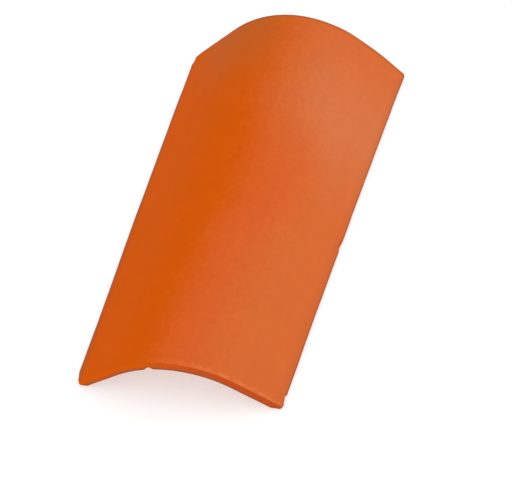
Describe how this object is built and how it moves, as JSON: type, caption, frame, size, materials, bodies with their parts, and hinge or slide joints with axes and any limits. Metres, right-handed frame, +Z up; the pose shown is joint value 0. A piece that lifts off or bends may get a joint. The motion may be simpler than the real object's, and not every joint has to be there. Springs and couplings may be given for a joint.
{
  "type": "clay roof tile",
  "caption": "Tapered, arched roof tile of plain fired clay that rests on two long flat bed edges and laps under and over its neighbours.",
  "frame": {"origin": "centre of the tile's footprint, on the level that its two bed edges rest on", "axes": "+Y along the length from the narrow end to the wide end, +Z up through the crest, +X to the right as seen from the narrow end"},
  "size_m": [0.2, 0.4, 0.06],
  "materials": {
    "fired_clay": "unglazed orange terracotta, smooth-rolled and matt"
  },
  "bodies": {
    "root": {"roof_tile": "fired_clay"}
  },
  "joints": []
}
